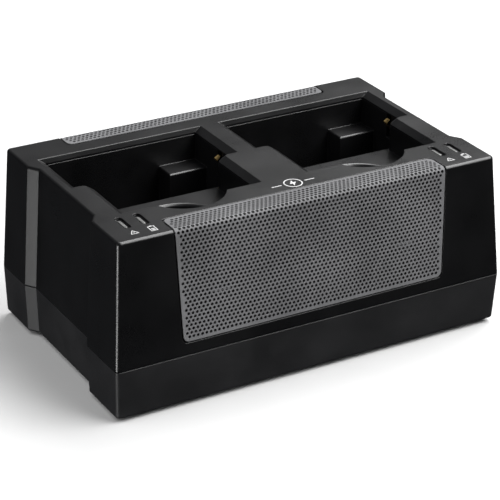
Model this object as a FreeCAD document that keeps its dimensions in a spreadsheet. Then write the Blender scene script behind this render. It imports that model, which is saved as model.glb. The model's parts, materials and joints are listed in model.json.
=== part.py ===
import FreeCAD, Part
import Sketcher
import math
import os
import re

# Two-bay desktop charging station for wireless transmitters.
# Millimetres. +X is the right-hand side, +Y the back and +Z up; the origin is on the
# table under the middle of the case.

DIMENSIONS = [
    # case outline
    ("half_width_seam", 95.0), ("half_width_top", 91.3), ("half_width_base", 94.4),
    ("half_depth", 58.0), ("setback_front_top", 3.65), ("setback_rear_top", 1.6),
    ("setback_front_base", 1.6), ("setback_rear_base", 0.6),
    ("base_z", 2.0), ("seam_z", 24.7), ("seam_gap", 0.4), ("top_z", 81.0),
    ("wall", 2.5), ("plate", 3.0), ("corner_radius", 2.0), ("edge_radius", 1.3),
    # the shallow recess across each side
    ("recess_depth", 3.3), ("recess_front_outer", -30.0), ("recess_front_inner", -25.0),
    ("recess_rear_inner", 28.4), ("recess_rear_outer", 33.2),
    # charging bays
    ("bay_x", 44.4), ("wide_half", 40.1), ("narrow_half", 33.4),
    ("bay_front", -29.1), ("shoulder_y", 3.9), ("bay_rear", 37.8),
    ("bevel_side", 3.3), ("bevel_end", 0.7), ("bevel_drop", 2.2),
    ("shoulder_round", 2.2),
    ("liner_wall", 2.0), ("bay_floor_z", 30.0), ("ledge_z", 66.0), ("ledge_rear", -0.5),
    ("well_radius", 18.6), ("well_y", -20.5), ("rim_round", 1.6),
    ("block_x", 18.2), ("block_y", 26.2), ("block_z", 66.0), ("block_round", 0.8),
    # liner fixing
    ("lug_z", 68.0), ("lug_thick", 2.0), ("lug_radius", 3.4), ("boss_radius", 3.0),
    ("lug_front_x", 36.0), ("lug_front_y", -1.2), ("lug_rear_x", 24.0), ("lug_rear_y", 42.4),
    # grilles
    ("sheet_thick", 1.0), ("sheet_proud", 0.17), ("grille_half_top", 65.4),
    ("grille_half_foot", 63.6), ("grille_foot_z", 31.0), ("front_flap_y", -42.7),
    ("rear_flap_y", 46.4), ("bend_radius", 2.4), ("grille_corner", 2.5), ("groove", 0.7),
    ("tab_half", 4.0), ("tab_x", 45.0), ("tab_z", 50.0), ("tab_reach", 5.0),
    # indicators
    ("lamp_inner_x", 72.4), ("lamp_outer_x", 80.7), ("lamp_y", -37.6), ("dish_length", 11.0),
    ("dish_width", 3.4), ("dish_depth", 0.9), ("pipe_length", 7.0), ("pipe_width", 1.3),
    ("pipe_top", 80.5), ("pipe_foot", 74.2), ("lamp_board_z", 70.4), ("lamp_board_thick", 1.2),
    # spring contacts
    ("leaf_y", 14.0), ("leaf_half", 1.5), ("leaf_thick", 0.35), ("nose_reach", 2.2),
    ("nose_z", 74.4), ("leaf_tip_z", 76.3), ("pivot_z", 67.0), ("holder_thick", 2.6),
    ("holder_half", 4.0), ("holder_foot_z", 59.0), ("pin_radius", 1.2), ("pin_offset", 7.0),
    ("pin_top_z", 33.0), ("pin_travel", 1.5),
    # main board
    ("board_z", 10.0), ("board_thick", 1.6), ("board_half_x", 70.0), ("board_half_y", 34.0),
    ("socket_height", 5.0),
    # screws and feet
    ("post_x", 62.0), ("post_y", 49.5), ("post_radius", 4.0), ("screw_radius", 1.5),
    ("case_pilot", 1.25), ("case_pilot_depth", 16.0), ("case_screw_shank", 1.24),
    ("case_screw_length", 25.0), ("case_screw_head", 2.9), ("case_head_tall", 2.2),
    ("counterbore", 3.2), ("counterbore_depth", 8.0),
    ("well_pilot", 0.9), ("well_pilot_depth", 9.0), ("well_screw_shank", 0.88),
    ("well_screw_length", 8.0), ("well_screw_head", 2.2), ("well_head_tall", 1.5),
    ("lug_hole", 1.3), ("web_half", 2.6),
    ("lamp_pilot", 0.8), ("lamp_pilot_depth", 7.0), ("lamp_screw_back", 8.6),
    ("lamp_screw_apart", 6.0), ("lamp_boss_radius", 2.2), ("lamp_hole", 1.2),
    ("lamp_screw_shank", 0.78), ("lamp_screw_length", 5.0), ("lamp_screw_head", 1.9),
    ("lamp_head_tall", 1.1), ("lamp_board_half", 8.4), ("lamp_board_back", 11.0),
    ("lamp_board_front", 6.0),
    ("board_post_radius", 3.0), ("board_pilot", 1.0), ("board_hole", 1.4),
    ("board_screw_inset", 5.0), ("board_screw_shank", 0.98), ("board_screw_head", 2.4),
    ("board_head_tall", 1.6), ("slot_half", 0.3), ("slot_depth", 0.4), ("fit_gap", 0.02),
    ("foot_x", 85.5), ("foot_y", 46.5), ("foot_radius", 6.0), ("foot_seat", 0.8), ("foot_round", 0.6),
    ("inlet_x", 52.0), ("inlet_z", 14.8), ("inlet_radius", 4.6), ("inlet_recess", 1.2),
    ("inlet_flange", 1.6), ("flange_thick", 1.1), ("inlet_length", 17.0), ("mouth_radius", 2.8),
    ("mouth_depth", 10.5), ("centre_pin", 1.0), ("tail_half", 2.0), ("tail_length", 3.0),
    ("nut_thick", 2.2), ("nut_growth", 2.9), ("nut_back", 5.6),
]

FUNCTIONS = ("sqrt", "max", "min")
document = FreeCAD.newDocument("charging_station")
pieces = []


def fill_sheet():
    sheet = document.addObject("Spreadsheet::Sheet", "dims")
    for row, (alias, number) in enumerate(DIMENSIONS, 1):
        sheet.set("A%d" % row, alias)
        sheet.set("B%d" % row, str(number))
        sheet.setAlias("B%d" % row, alias)
    document.recompute()
    return sheet


sheet = fill_sheet()


def bound(text):
    """Write an expression of plain aliases in the sheet's own terms."""
    return re.sub(r"[a-z_]+[a-z_0-9]*", lambda m: m.group(0) if m.group(0) in FUNCTIONS
                  else "dims." + m.group(0), str(text))


def number(text):
    result = sheet.evalExpression(bound(text))
    return float(result)


def add(kind, name):
    return document.addObject(kind, name)


def keep(thing, label):
    """Mark an object as one of the pieces that are written out."""
    thing.Label = label
    pieces.append(thing)
    return thing


def place(thing, spot):
    for axis, text in zip("xyz", spot):
        thing.setExpression("Placement.Base." + axis, bound(text))


def block(name, low, high):
    box = add("Part::Box", name)
    for side, start, end in zip(("Length", "Width", "Height"), low, high):
        box.setExpression(side, bound("(%s) - (%s)" % (end, start)))
    place(box, low)
    return box


TURNS = {"z": FreeCAD.Rotation(), "x": FreeCAD.Rotation(FreeCAD.Vector(0, 1, 0), 90),
         "y": FreeCAD.Rotation(FreeCAD.Vector(1, 0, 0), -90)}


def rod(name, start, radius, length, axis="z"):
    """A cylinder that runs from start along a positive axis."""
    cylinder = add("Part::Cylinder", name)
    cylinder.setExpression("Radius", bound(radius))
    cylinder.setExpression("Height", bound(length))
    cylinder.Placement = FreeCAD.Placement(FreeCAD.Vector(), TURNS[axis])
    place(cylinder, start)
    return cylinder


def fuse(name, things):
    union = add("Part::MultiFuse", name)
    union.Shapes = things
    return union


def group(name, things):
    """Identical separate solids that share one file."""
    set_of = add("Part::Compound", name)
    set_of.Links = things
    return set_of


def cut(name, base, tools):
    difference = add("Part::Cut", name)
    difference.Base = base
    difference.Tool = tools[0] if len(tools) == 1 else fuse(name + "_tools", tools)
    return difference


def rounded(name, base, radius, test):
    """Fillet the edges whose middle passes the test, all to one radius."""
    document.recompute()
    fillet = add("Part::Fillet", name)
    fillet.Base = base
    size = number(radius)
    chosen = []
    for index, edge in enumerate(base.Shape.Edges, 1):
        middle = edge.valueAt((edge.FirstParameter + edge.LastParameter) / 2)
        if test(edge, middle):
            chosen.append((index, size, size))
    if not chosen:
        raise RuntimeError(name + " found no edge to round")
    fillet.Edges = chosen
    return fillet


def near(value, target, slack=0.05):
    return abs(value - target) < slack


def origin_plane(body, role):
    for feature in body.Origin.OriginFeatures:
        if feature.Role == role:
            return feature
    raise RuntimeError("no plane " + role)


def outline(body, name, points, lift="0", plane="XY_Plane"):
    """A closed sketch through the points, every corner held by two bound dimensions."""
    if body is None:
        sketch = add("Sketcher::SketchObject", name)
        sketch.setExpression("Placement.Base.z", bound(lift))
    else:
        sketch = body.newObject("Sketcher::SketchObject", name)
        sketch.AttachmentSupport = (origin_plane(body, plane), [""])
        sketch.MapMode = "FlatFace"
        sketch.setExpression("AttachmentOffset.Base.z", bound(lift))
    corners = [FreeCAD.Vector(number(u), number(v), 0) for u, v in points]
    count = len(corners)
    for index in range(count):
        sketch.addGeometry(Part.LineSegment(corners[index], corners[(index + 1) % count]))
    for index in range(count):
        join = Sketcher.Constraint("Coincident", index, 2, (index + 1) % count, 1)
        sketch.addConstraint(join)
    for index, (u, v) in enumerate(points):
        held = (("DistanceX", u, corners[index].x), ("DistanceY", v, corners[index].y))
        for kind, text, size in held:
            slot = sketch.addConstraint(Sketcher.Constraint(kind, -1, 1, index, 1, size))
            sketch.setExpression("Constraints[%d]" % slot, bound(text))
    return sketch


def tapered(name, low, high, z_low, z_high):
    """A block whose foot and head are different rectangles, (x0, x1, y0, y1) each."""
    wedge = add("Part::Wedge", name)
    wedge.Placement = FreeCAD.Placement(FreeCAD.Vector(), FreeCAD.Rotation(FreeCAD.Vector(1, 0, 0), 90))
    for mark, (x_start, x_end, y_start, y_end) in (("", low), ("2", high)):
        wedge.setExpression("X%smin" % mark, bound(x_start))
        wedge.setExpression("X%smax" % mark, bound(x_end))
        wedge.setExpression("Z%smin" % mark, bound("-(%s)" % y_end))
        wedge.setExpression("Z%smax" % mark, bound("-(%s)" % y_start))
    wedge.setExpression("Ymin", bound(z_low))
    wedge.setExpression("Ymax", bound(z_high))
    return wedge


def case_block(name, low, high, z_low, z_high, inset="0", head_drop="0"):
    """The drafted case with its two side recesses, or the hollow inside it.

    low and high are the half width, front and rear at the two true levels z_low and
    z_high; head_drop stops the block short of z_high without changing its draft.
    """
    share = "(%s) / (%s - (%s))" % (head_drop, z_high, z_low)

    def level(spot):
        lower, upper = low[spot], high[spot]
        return "(%s) + ((%s) - (%s)) * (%s)" % (upper, lower, upper, share)

    def frame(width, front, rear):
        half = "(%s) - (%s)" % (width, inset)
        return ("-(%s)" % half, half, "%s + (%s)" % (front, inset), "%s - (%s)" % (rear, inset))

    head = "(%s) - (%s)" % (z_high, head_drop)
    blank = tapered(name + "_blank", frame(*low), frame(level(0), level(1), level(2)), z_low, head)
    draft = "((%s) - (%s)) / ((%s) - (%s))" % (low[0], high[0], z_high, z_low)
    spill, overrun = "6", "4"
    shift = "(%s) * 0.3" % inset
    tools = []
    for flank, side in ((-1, "left"), (1, "right")):
        full = "(%s) - (%s) + (%s) * %s" % (low[0], inset, draft, overrun)
        reach = "%s / recess_depth" % spill
        plan = [("(%d) * (%s + %s)" % (flank, full, spill),
                 "recess_front_outer - %s - (recess_front_inner - recess_front_outer) * %s"
                 % (shift, reach)),
                ("(%d) * (%s - recess_depth)" % (flank, full), "recess_front_inner - " + shift),
                ("(%d) * (%s - recess_depth)" % (flank, full), "recess_rear_inner + " + shift),
                ("(%d) * (%s + %s)" % (flank, full, spill),
                 "recess_rear_outer + %s + (recess_rear_outer - recess_rear_inner) * %s" % (shift, reach))]
        sketch = outline(None, "%s_%s_plan" % (name, side), plan, "%s - %s" % (z_low, overrun))
        tool = add("Part::Extrusion", "%s_%s_recess" % (name, side))
        tool.Base = sketch
        tool.DirMode = "Custom"
        tool.Solid = True
        tall = "(%s) - (%s) + 2 * %s" % (z_high, z_low, overrun)
        tool.setExpression("Dir.x", bound("-(%d) * (%s) * (%s)" % (flank, draft, tall)))
        tool.Dir = FreeCAD.Vector(0, 0, 1)
        tool.setExpression("Dir.z", bound(tall))
        tools.append(tool)
    return cut(name, blank, tools)


SEAM = ("half_width_seam", "-half_depth", "half_depth")
TOP = ("half_width_top", "-half_depth + setback_front_top", "half_depth - setback_rear_top")
BASE = ("half_width_base", "-half_depth + setback_front_base", "half_depth - setback_rear_base")
FRONT_SLOPE = "setback_front_top / (top_z - seam_z)"
REAR_SLOPE = "setback_rear_top / (top_z - seam_z)"


def front_face(height):
    return "(-half_depth + (%s - seam_z) * %s)" % (height, FRONT_SLOPE)


def rear_face(height):
    return "(half_depth - (%s - seam_z) * %s)" % (height, REAR_SLOPE)


def bay_mouth(side):
    """The T-shaped mouth of a bay: wide at the back, narrow in front, bevelled all round."""
    centre = bay_centre(side)
    low_z, top = "top_z - bevel_drop", "top_z"
    rise = "0.5"
    grow_side = "bevel_side * %s / bevel_drop" % rise
    grow_end = "bevel_end * %s / bevel_drop" % rise
    parts = []
    for name, half, front, rear in (("wide", "wide_half", "shoulder_y", "bay_rear"),
                                    ("narrow", "narrow_half", "bay_front", "shoulder_y + 4")):
        foot = ("%s - (%s - bevel_side)" % (centre, half), "%s + (%s - bevel_side)" % (centre, half),
                "%s + bevel_end" % front, "%s - bevel_end" % rear)
        head = ("%s - (%s + %s)" % (centre, half, grow_side), "%s + (%s + %s)" % (centre, half, grow_side),
                "%s - %s" % (front, grow_end), "%s + %s" % (rear, grow_end))
        parts.append(tapered("%s_%s_bevel" % (side, name), foot, head, low_z, "%s + %s" % (top, rise)))
        parts.append(block("%s_%s_mouth" % (side, name),
                           (foot[0], foot[2], "top_z - plate - 1"), (foot[1], foot[3], low_z + " + 0.01")))
    return parts


def rounded_shoulders(opened):
    """Round the two shoulders of each mouth, where it narrows towards the front."""
    shoulder_x = number("narrow_half - bevel_side / 2")
    shoulder_y = number("shoulder_y + bevel_end / 2")
    plate_foot = number("top_z - plate")
    return rounded("mouth_shoulders", opened, "shoulder_round",
                   lambda e, m: m.z > plate_foot and e.Length < number("2 * plate") and
                   near(abs(abs(m.x) - number("bay_x")), shoulder_x, 2) and
                   near(m.y, shoulder_y, 1) and
                   abs(e.Vertexes[-1].Point.z - e.Vertexes[0].Point.z) > e.Length / 3)


SIDES = {"left": -1, "right": 1}


def bay_centre(side):
    return "(%d * bay_x)" % SIDES[side]


def round_in_body(body, name, size, test):
    """A PartDesign fillet on the edges whose middle passes the test."""
    document.recompute()
    names = []
    for index, edge in enumerate(body.Shape.Edges, 1):
        middle = edge.valueAt((edge.FirstParameter + edge.LastParameter) / 2)
        if test(edge, middle):
            names.append("Edge%d" % index)
    if not names:
        raise RuntimeError(name + " found no edge to round")
    base = body.Tip
    feature = body.newObject("PartDesign::Fillet", name)
    feature.Base = (base, names)
    feature.setExpression("Radius", bound(size))
    document.recompute()
    return feature


def upright(edge):
    """True for an edge that runs mostly up and down."""
    first, last = edge.Vertexes[0].Point, edge.Vertexes[-1].Point
    return abs(last.z - first.z) > 0.9 * edge.Length


def upper_housing():
    shell = case_block("upper_shell", SEAM, TOP, "seam_z", "top_z")
    tall = number("top_z - seam_z") * 0.8
    corner = number("half_depth") - 5
    corners = rounded("upper_corners", shell, "corner_radius",
                      lambda e, m: upright(e) and e.Length > tall and abs(m.y) > corner)
    rim = rounded("upper_rim", corners, "edge_radius", lambda e, m: near(m.z, number("top_z")))
    hollow = case_block("upper_hollow", SEAM, TOP, "seam_z", "top_z", "wall", "plate")
    mouths = bay_mouth("left") + bay_mouth("right")
    trim = block("seam_trim", ("-half_width_seam - 1", "-half_depth - 1", "seam_z - 5"),
                 ("half_width_seam + 1", "half_depth + 1", "seam_z + seam_gap"))
    body = cut("upper_open", rim, [hollow, trim] + mouths)
    bosses = []
    for side, sign in SIDES.items():
        for ends, (x, y) in enumerate((("lug_front_x", "lug_front_y"), ("lug_rear_x", "lug_rear_y"))):
            for flank in (-1, 1):
                spot = ("%d * bay_x + (%d) * %s" % (sign, flank, x), y, "lug_z + lug_thick")
                name = "%s_boss_%d_%d" % (side, ends, flank + 1)
                bosses.append(rod(name, spot, "boss_radius", "top_z - plate - lug_z - lug_thick + 0.5"))
    for index, (a, b) in enumerate(CORNERS):
        spot = ("%d * post_x" % a, "%d * post_y" % b, "seam_z + seam_gap")
        bosses.append(rod("case_boss_%d" % index, spot, "post_radius",
                          "top_z - plate - seam_z - seam_gap + 0.5"))
    for side, sign in SIDES.items():
        for index, x in enumerate(lamp_screw_x(sign)):
            spot = (x, "lamp_y - lamp_screw_back", "lamp_board_z + lamp_board_thick")
            bosses.append(rod("%s_lamp_boss_%d" % (side, index), spot, "lamp_boss_radius",
                              "top_z - plate - lamp_board_z - lamp_board_thick + 0.5"))
    blank = fuse("upper_blank", [body] + bosses)
    tools = []
    for side, sign in SIDES.items():
        tools.append(rod(side + "_scoop", ("%d * bay_x" % sign, "well_y", "top_z - plate - 1"),
                         "well_radius", "plate + 3"))
        for ends, (x, y) in enumerate((("lug_front_x", "lug_front_y"), ("lug_rear_x", "lug_rear_y"))):
            for flank in (-1, 1):
                spot = ("%d * bay_x + (%d) * %s" % (sign, flank, x), y, "lug_z")
                name = "%s_pilot_%d_%d" % (side, ends, flank + 1)
                tools.append(rod(name, spot, "well_pilot", "well_pilot_depth"))
        for index, x in enumerate(lamp_screw_x(sign)):
            seat = (x, "lamp_y - lamp_screw_back", "lamp_board_z")
            tools.append(rod("%s_lamp_pilot_%d" % (side, index), seat,
                             "lamp_pilot", "lamp_pilot_depth"))
        for name, x in (("inner", "lamp_inner_x"), ("outer", "lamp_outer_x")):
            tools.append(lamp_dish(side + "_" + name, "%d * %s" % (sign, x)))
            half = "pipe_width / 2 + 0.15"
            tools.append(block("%s_%s_pipe_hole" % (side, name),
                               ("%d * %s - (%s)" % (sign, x, half), "lamp_y - pipe_length / 2 - 0.15",
                                "top_z - plate - 1"),
                               ("%d * %s + (%s)" % (sign, x, half), "lamp_y + pipe_length / 2 + 0.15",
                                "top_z + 1")))
    for index, (a, b) in enumerate(CORNERS):
        tools.append(rod("case_pilot_%d" % index, ("%d * post_x" % a, "%d * post_y" % b, "seam_z"),
                         "case_pilot", "case_pilot_depth"))
    tools.append(grille_solid("front_seat", -1, "groove", "sheet_thick - sheet_proud", "2"))
    tools.append(grille_solid("rear_seat", 1, "groove", "sheet_thick - sheet_proud", "2"))
    tools += tab_slots("upper")
    return keep(rounded_shoulders(cut("upper_cut", blank, tools)), "upper_housing")


CORNERS = ((-1, -1), (1, -1), (1, 1), (-1, 1))


def lamp_screw_x(sign):
    middle = "%d * (lamp_inner_x + lamp_outer_x) / 2" % sign
    return [middle + " - lamp_screw_apart", middle + " + lamp_screw_apart"]


def lamp_dish(name, x):
    """A round-ended dish pressed into the top round each lamp."""
    half = "(dish_length - dish_width) / 2"
    low = "top_z - dish_depth"
    middle = block(name + "_dish_middle", (x + " - dish_width / 2", "lamp_y - " + half, low),
                   (x + " + dish_width / 2", "lamp_y + " + half, "top_z + 1"))
    ends = []
    for index, sign in enumerate("-+"):
        spot = (x, "lamp_y %s %s" % (sign, half), low)
        ends.append(rod("%s_dish_end_%d" % (name, index), spot, "dish_width / 2", "dish_depth + 1"))
    return fuse(name + "_dish", [middle] + ends)


def grille_solid(name, sign, margin, depth, proud):
    """The bent sheet as a solid: a flap on the top and a panel down the face.

    The sheet lies from depth below the case surface to proud above it, and reaches
    margin past the sheet's own outline, so the same shape makes the sheet and its seat.
    """
    face = front_face if sign < 0 else rear_face
    flap = "front_flap_y" if sign < 0 else "rear_flap_y"
    outward = "%d * " % sign
    foot = "grille_foot_z - (%s)" % margin
    head = "top_z + (%s)" % proud
    flap_end = "%s - (%s(%s))" % (flap, outward, margin)
    points = [(face(foot) + " + (%s(%s))" % (outward, proud), foot),
              (face(head) + " + (%s(%s))" % (outward, proud), head),
              (flap_end, head),
              (flap_end, "top_z - (%s)" % depth),
              (face("top_z") + " - (%s(%s))" % (outward, depth), "top_z - (%s)" % depth),
              (face(foot) + " - (%s(%s))" % (outward, depth), foot)]
    if sign > 0:
        points.reverse()
    body = add("PartDesign::Body", name + "_profile")
    sketch = outline(body, name + "_sketch", points, "0", "YZ_Plane")
    pad = body.newObject("PartDesign::Pad", name + "_pad")
    pad.Profile = sketch
    pad.Midplane = True
    pad.setExpression("Length", bound("2 * half_width_seam"))
    document.recompute()
    bend = number(head)
    round_in_body(body, name + "_bend", "bend_radius",
                  lambda e, m: e.Length > 100 and near(m.z, bend) and abs(m.y) > 50)
    low_z, low_y = number(foot), abs(number(flap_end))
    top = "grille_half_top + (%s)" % margin
    side_foot = "grille_half_foot + (%s)" % margin
    shape = add("PartDesign::Body", name + "_front_view")
    corners = [(top, head + " + 1"), (top, "top_z - 3"), (side_foot, foot),
               ("-(%s)" % side_foot, foot), ("-(%s)" % top, "top_z - 3"), ("-(%s)" % top, head + " + 1")]
    face_sketch = outline(shape, name + "_view_sketch", corners, "0", "XZ_Plane")
    prism = shape.newObject("PartDesign::Pad", name + "_view_pad")
    prism.Profile = face_sketch
    prism.Midplane = True
    prism.setExpression("Length", bound("2 * half_depth + 20"))
    document.recompute()
    common = add("Part::Common", name + "_sheet")
    common.Base = body
    common.Tool = shape
    document.recompute()
    corner = "grille_corner"
    return rounded(name + "_corners", common, corner,
                   lambda e, m: (upright(e) and near(abs(m.y), low_y, 0.3) and e.Length < 8) or
                   (near(m.z, low_z, 0.3) and near(abs(m.x), number(side_foot), 0.6) and e.Length < 8))


def tab_slots(name):
    """Slots that the folded tabs of both grilles pass through."""
    return grille_tabs(name, "0.3", "1")


def grille_tabs(name, slack, behind):
    tabs = []
    for sign in (-1, 1):
        face = front_face if sign < 0 else rear_face
        skin = face("tab_z") + " - (%d * (sheet_thick - sheet_proud - 0.1))" % sign
        inner = "%s - (%d * (tab_reach + (%s)))" % (skin, sign, behind)
        near_y, far_y = (skin, inner) if sign < 0 else (inner, skin)
        for flank in (-1, 1):
            x = "%d * tab_x" % flank
            tabs.append(block("%s_tab_%d_%d" % (name, sign + 1, flank + 1),
                              (x + " - tab_half - (%s)" % slack, near_y, "tab_z - (%s)" % slack),
                              (x + " + tab_half + (%s)" % slack, far_y,
                               "tab_z + sheet_thick + (%s)" % slack)))
    return tabs


def grilles():
    """Both perforated sheets as plain closed skins with their tabs."""
    tabs = grille_tabs("sheet", "0", "0")
    for label, sign, own in (("front_grille", -1, tabs[:2]), ("rear_grille", 1, tabs[2:])):
        skin = grille_solid(label + "_skin", sign, "0", "sheet_thick - sheet_proud - 0.02",
                            "sheet_proud")
        keep(fuse(label + "_whole", [skin] + own), label)


def lower_housing():
    shell = case_block("lower_shell", BASE, SEAM, "base_z", "seam_z")
    corner = number("half_depth") - 5
    corners = rounded("lower_corners", shell, "corner_radius",
                      lambda e, m: upright(e) and abs(m.y) > corner)
    rim = rounded("lower_rim", corners, "edge_radius", lambda e, m: near(m.z, number("base_z")))
    hollow = case_block("lower_hollow", BASE, SEAM, "base_z + wall", "seam_z", "wall")
    body = cut("lower_open", rim, [hollow])
    tongue = lip("tongue", "wall + 0.6", "wall + 1.8", "2.4")
    root = lip("tongue_root", "wall - 0.5", "wall + 1.8", "0")
    posts, tools = [], []
    for index, (a, b) in enumerate(CORNERS):
        x, y = "%d * post_x" % a, "%d * post_y" % b
        posts.append(rod("case_post_%d" % index, (x, y, "base_z + wall - 0.5"), "post_radius",
                         "seam_z - base_z - wall + 0.5"))
        tools.append(rod("case_hole_%d" % index, (x, y, "base_z - 1"), "screw_radius + 0.2", "40"))
        tools.append(rod("case_counterbore_%d" % index, (x, y, "base_z - 1"), "counterbore",
                         "counterbore_depth + 1"))
        tools.append(rod("foot_seat_%d" % index, ("%d * foot_x" % a, "%d * foot_y" % b, "base_z - 1"),
                         "foot_radius + 0.1", "foot_seat + 1"))
    for index, (x, y) in enumerate(board_screws()):
        posts.append(rod("board_post_%d" % index, (x, y, "base_z + wall - 0.5"), "board_post_radius",
                         "board_z - base_z - wall + 0.5"))
        tools.append(rod("board_pilot_%d" % index, (x, y, "base_z + wall + 0.5"),
                         "board_pilot", "board_z - base_z"))
    tools.append(rod("inlet_hole", ("inlet_x", "half_depth - 6", "inlet_z"), "inlet_radius + 0.25",
                     "12", "y"))
    tools.append(rod("inlet_dish", ("inlet_x", "half_depth - inlet_recess", "inlet_z"),
                     "inlet_radius + inlet_flange + 0.4",
                     "6", "y"))
    blank = fuse("lower_blank", [body, tongue, root] + posts)
    return keep(cut("lower_cut", blank, tools), "lower_housing")


def lip(name, outer, inner, rise):
    """A ring that follows the inside of the wall from below the seam to rise above it."""
    level = (SEAM, SEAM, "seam_z - 3", "seam_z + (%s)" % rise)
    body = case_block(name + "_outside", *level, outer)
    hole_level = (SEAM, SEAM, "seam_z - 4", "seam_z + (%s) + 1" % rise)
    return cut(name, body, [case_block(name + "_inside", *hole_level, inner)])


def board_screws():
    return [("%d * (board_half_x - board_screw_inset)" % a,
             "%d * (board_half_y - board_screw_inset)" % b) for a, b in CORNERS]


def charging_well(side):
    """The pocket that takes a pack on edge behind and a round handle in front."""
    centre = bay_centre(side)
    wide, narrow = "(wide_half - bevel_side)", "(narrow_half - bevel_side)"
    front, shoulder = "bay_front + bevel_end", "shoulder_y + bevel_end"
    rear = "bay_rear - bevel_end"
    top = "top_z - plate"

    def slab(name, half, y_low, y_high, z_low, z_high, grow="0"):
        return block("%s_%s" % (side, name),
                     ("%s - %s - %s" % (centre, half, grow), "%s - %s" % (y_low, grow), z_low),
                     ("%s + %s + %s" % (centre, half, grow), "%s + %s" % (y_high, grow), z_high))

    skin = "liner_wall"
    outer = [slab("wide_outer", wide, shoulder, rear, "bay_floor_z - liner_wall", top, skin),
             slab("narrow_outer", narrow, front, shoulder, "ledge_z - liner_wall", top, skin),
             slab("neck_outer", "(well_radius + 1)", "well_y", shoulder, "bay_floor_z - liner_wall",
                  "ledge_z"),
             rod(side + "_well_outer", (centre, "well_y", "bay_floor_z - liner_wall"),
                 "well_radius + liner_wall", "%s - bay_floor_z + liner_wall" % top)]
    lugs, holes = [], []
    for ends, (x, y) in enumerate((("lug_front_x", "lug_front_y"), ("lug_rear_x", "lug_rear_y"))):
        for flank in (-1, 1):
            spot_x = "%s + (%d) * %s" % (centre, flank, x)
            name = "%s_lug_%d_%d" % (side, ends, flank + 1)
            lugs.append(rod(name, (spot_x, y, "lug_z"), "lug_radius", "lug_thick"))
            reach = "lug_front_y + 5" if ends == 0 else "lug_rear_y - 4.2"
            low_y, high_y = (y, reach) if ends == 0 else (reach, y)
            lugs.append(block(name + "_web", (spot_x + " - web_half", low_y, "lug_z"),
                              (spot_x + " + web_half", high_y, "lug_z + lug_thick")))
            holes.append(rod(name + "_hole", (spot_x, y, "lug_z - 1"), "lug_hole", "lug_thick + 2"))
    shell = fuse(side + "_liner_blank", outer + lugs)
    hollows = [slab("wide_space", wide, shoulder, rear, "bay_floor_z", "top_z + 1"),
               slab("narrow_space", narrow, front, "ledge_rear", "ledge_z", "top_z + 1"),
               slab("gap_space", narrow, "ledge_rear", shoulder + " + 1", "ledge_z", "top_z + 1"),
               rod(side + "_well_space", (centre, "well_y", "bay_floor_z"), "well_radius",
                   "top_z - bay_floor_z + 1")]
    windows = []
    for flank in (-1, 1):
        wall_in = "%s + (%d) * %s" % (centre, flank, wide)
        reach_in = "(%s) - (%d) * 0.5" % (wall_in, flank)
        reach_out = "(%s) + (%d) * (liner_wall + 0.5)" % (wall_in, flank)
        low_x, high_x = (reach_out, reach_in) if flank < 0 else (reach_in, reach_out)
        windows.append(block("%s_window_%d" % (side, flank + 1),
                             (low_x, "leaf_y - leaf_half - 0.6", "pivot_z - 0.5"),
                             (high_x, "leaf_y + leaf_half + 0.6", top + " + 1")))
    for index, sign in enumerate((-1, 1)):
        spot = ("%s + (%d) * pin_offset" % (centre, sign), "well_y", "bay_floor_z - liner_wall - 1")
        windows.append(rod("%s_pin_way_%d" % (side, index), spot, "pin_radius + 0.3", "liner_wall + 2"))
    hollow = cut(side + "_liner_open", shell, hollows + holes + windows)
    shelf = block(side + "_shelf",
                  ("%s + block_x" % centre, "block_y", "bay_floor_z"),
                  ("%s + %s" % (centre, wide), rear, "block_z"))
    soft_shelf = rounded(side + "_shelf_round", shelf, "block_round",
                         lambda e, m: near(m.z, number("block_z")) and
                         (near(m.y, number("block_y")) or near(m.x, number("%s + block_x" % centre))))
    whole = fuse(side + "_liner_whole", [hollow, soft_shelf])
    rim = number("ledge_z")
    middle_x = number(centre)
    well_y = number("well_y")
    radius = number("well_radius")
    soft = rounded(side + "_liner_rim", whole, "rim_round",
                   lambda e, m: near(m.z, rim) and hasattr(e.Curve, "Radius") and
                   near(e.Curve.Radius, radius) and m.y < number("ledge_rear"))
    shoulder_y = number(shoulder)
    shoulder_x = number(narrow)
    neck = rounded(side + "_liner_shoulder", soft, "shoulder_round",
                   lambda e, m: upright(e) and near(m.y, shoulder_y) and m.z > rim and
                   near(abs(m.x - middle_x), shoulder_x))
    return keep(neck, "charging_well_" + side)


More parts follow.
